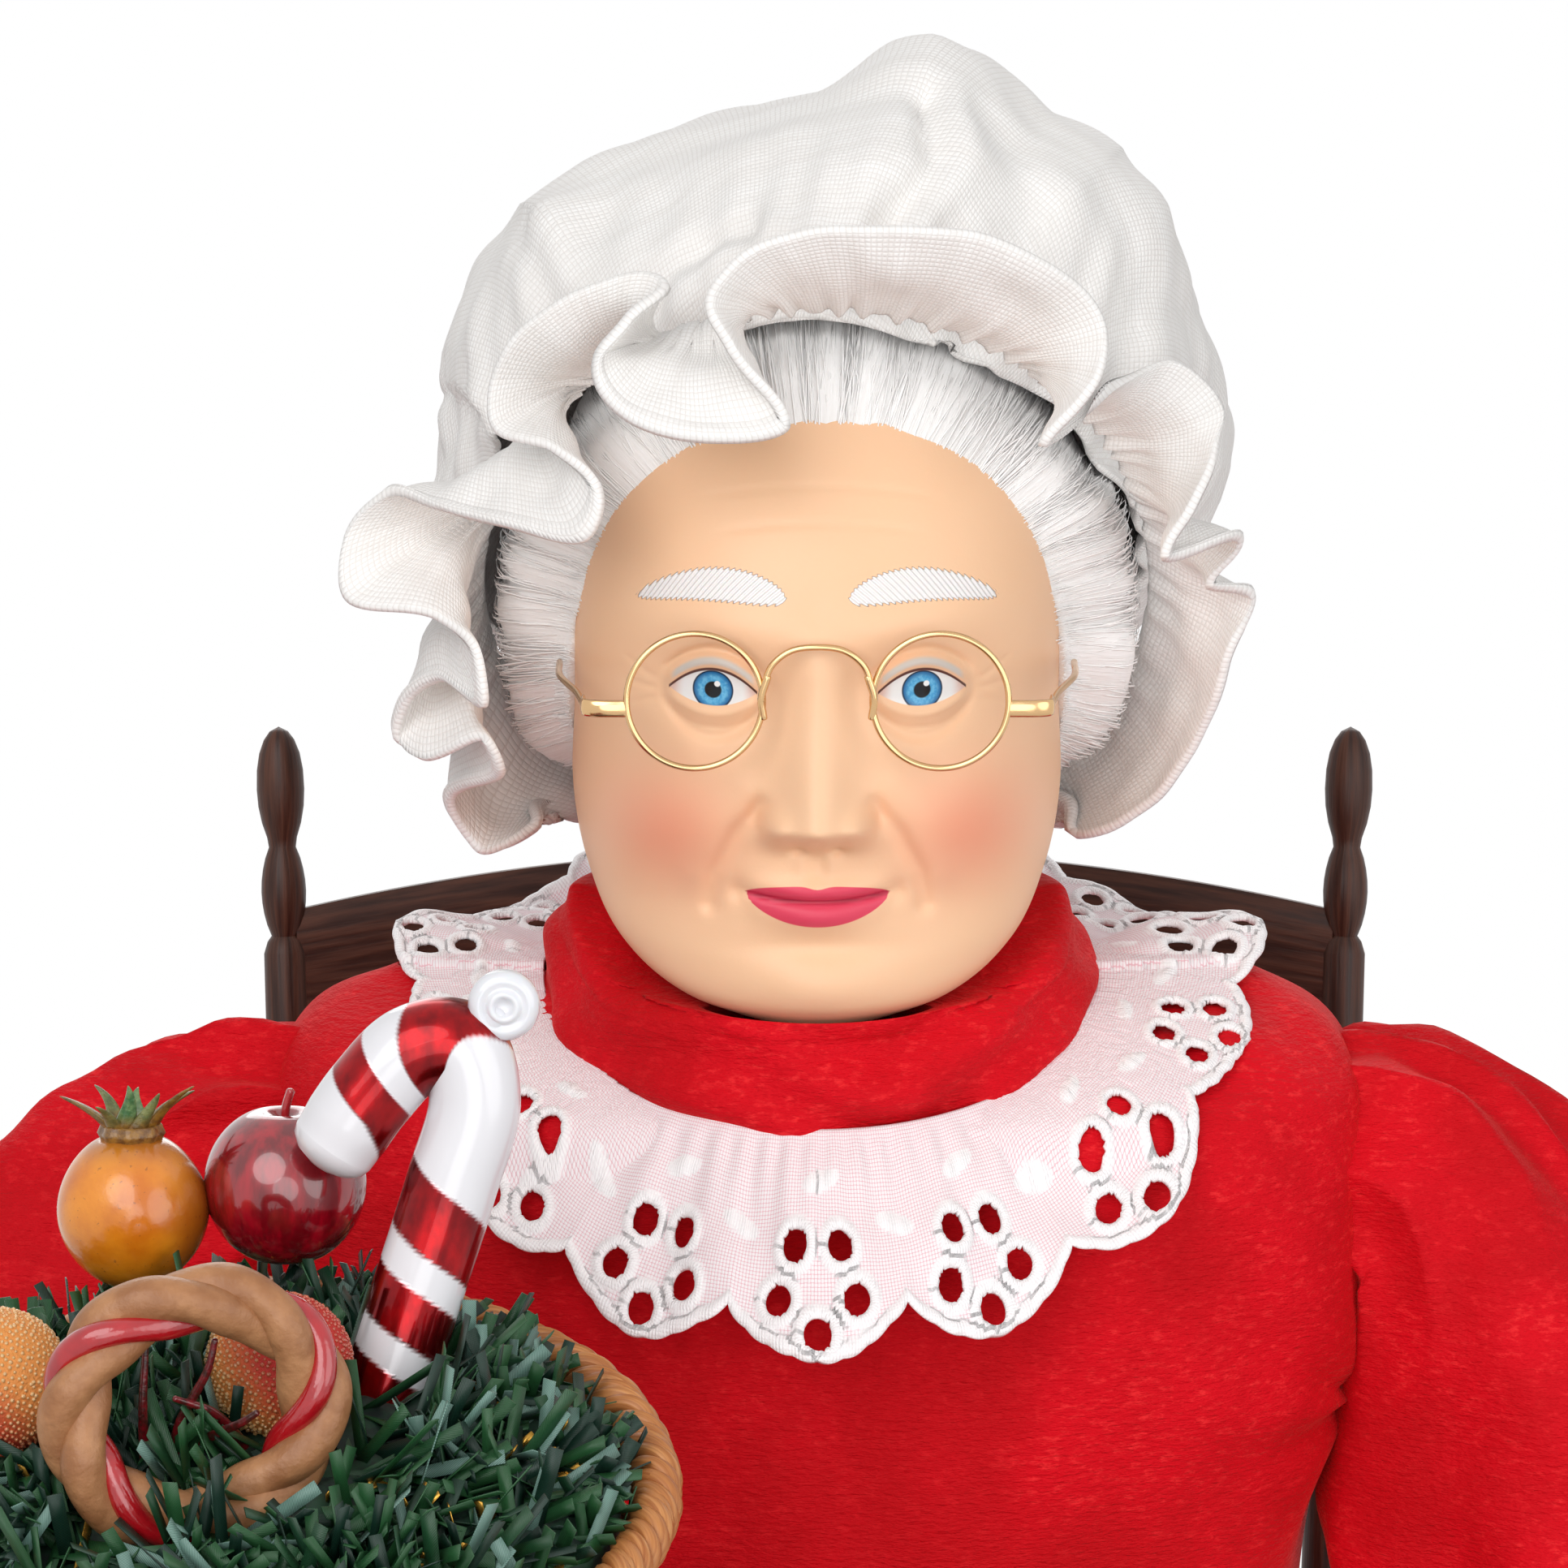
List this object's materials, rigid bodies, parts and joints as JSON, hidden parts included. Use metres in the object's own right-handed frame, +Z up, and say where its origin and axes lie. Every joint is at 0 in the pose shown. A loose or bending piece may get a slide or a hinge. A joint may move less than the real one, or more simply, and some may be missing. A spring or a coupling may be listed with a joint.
{
  "type": "animated mrs claus figure",
  "caption": "Seated grandmother figure with frilled cap, glasses and lace collar in a rocking chair, holding a basket; the head turns and one arm lifts.",
  "frame": {"origin": "middle of the outline's box, on the floor under the rockers", "axes": "+Z up, the figure faces -Y, its own left side is +X"},
  "size_m": [0.274, 0.309, 0.4424],
  "materials": {
    "walnut_wood": "dark satin stain",
    "skin_vinyl": "matt peach vinyl",
    "red_velvet": "short crushed pile",
    "white_cotton": "coarse plain weave",
    "cotton_lace": "eyelet embroidery on voile",
    "white_wool": "brushed straight fibres",
    "gold_wire": "polished",
    "black_vinyl": "gloss",
    "white_plastic": "gloss",
    "grey_plastic": "moulded",
    "black_plastic": "moulded",
    "zinc_steel": "zinc plated",
    "green_board": "solder mask",
    "wicker": "stained and varnished",
    "pine_foil": "cut foil needles",
    "apple_lacquer": "high gloss lacquer",
    "fruit_gold": "high gloss lacquer",
    "sugared_peach": "sugar beads",
    "bread_dough": "satin glaze"
  },
  "bodies": {
    "seated_figure": {"front_stretcher": "walnut_wood", "rear_stretcher": "walnut_wood", "right_side_stretcher": "walnut_wood", "left_side_stretcher": "walnut_wood", "crest_rail": "walnut_wood", "middle_slat": "walnut_wood", "lower_slat": "walnut_wood", "right_back_post": "walnut_wood", "right_front_leg": "walnut_wood", "right_rocker": "walnut_wood", "left_back_post": "walnut_wood", "left_front_leg": "walnut_wood", "left_rocker": "walnut_wood", "seat_board": "walnut_wood", "right_hand": "skin_vinyl", "bodice": "red_velvet", "neckband": "red_velvet", "skirt": "red_velvet", "right_sleeve": "red_velvet", "left_leg": "white_cotton", "right_leg": "white_cotton", "lace_collar": "cotton_lace", "right_lace_cuff": "cotton_lace", "left_boot": "black_vinyl", "right_boot": "black_vinyl", "torso_front_shell": "white_plastic", "torso_back_shell": "white_plastic", "candy_cane": "white_plastic", "chassis": "grey_plastic", "battery_box": "black_plastic", "speaker": "black_plastic", "head_motor": "zinc_steel", "arm_motor": "zinc_steel", "right_seat_screw": "zinc_steel", "left_seat_screw": "zinc_steel", "cell_1": "zinc_steel", "cell_2": "zinc_steel", "control_board": "green_board", "basket": "wicker", "greenery": "pine_foil", "apple": "apple_lacquer", "gold_fruit": "fruit_gold", "front_peach": "sugared_peach", "side_peach": "sugared_peach", "wreath_cookie": "bread_dough"},
    "head": {"head_shell": "skin_vinyl", "wig": "white_wool", "cap_crown": "white_cotton", "cap_ruffle": "white_cotton", "glasses": "gold_wire", "neck_shaft": "white_plastic"},
    "left_arm": {"left_arm_bone": "white_plastic", "left_sleeve": "red_velvet", "left_hand": "skin_vinyl", "left_lace_cuff": "cotton_lace"},
    "head_pinion": {"head_pinion": "white_plastic"},
    "arm_pinion": {"arm_pinion": "white_plastic"},
    "battery_door": {"battery_door": "black_plastic"},
    "switch_knob": {"switch_knob": "black_plastic"}
  },
  "joints": [
    {"name": "head_turn", "type": "hinge", "parent": "seated_figure", "child": "head", "pos_m": [0.00878, 0.028, 0.233], "axis": [0, 0, 1], "range_deg": [-25, 25]},
    {"name": "head_pinion_spin", "type": "hinge", "parent": "seated_figure", "child": "head_pinion", "pos_m": [-0.01982, 0.028, 0.233], "axis": [0, 0, 1], "range_deg": [-55, 55]},
    {"name": "left_arm_lift", "type": "hinge", "parent": "seated_figure", "child": "left_arm", "pos_m": [0.07878, 0.032, 0.29], "axis": [-1, 0, 0], "range_deg": [0, 25]},
    {"name": "arm_pinion_spin", "type": "hinge", "parent": "seated_figure", "child": "arm_pinion", "pos_m": [0.04278, 0.032, 0.2614], "axis": [-1, 0, 0], "range_deg": [-55, 0]},
    {"name": "battery_door_hinge", "type": "hinge", "parent": "seated_figure", "child": "battery_door", "pos_m": [0.00878, 0.06625, 0.1083], "axis": [1, 0, 0], "range_deg": [0, 90]},
    {"name": "power_switch_slide", "type": "slide", "parent": "seated_figure", "child": "switch_knob", "axis": [0, 1, 0], "range_m": [0, 0.005]}
  ],
  "couplings": [
    {"joint": "head_pinion_spin", "follows": "head_turn", "ratio": -2.1667},
    {"joint": "arm_pinion_spin", "follows": "left_arm_lift", "ratio": -2.1667}
  ]
}
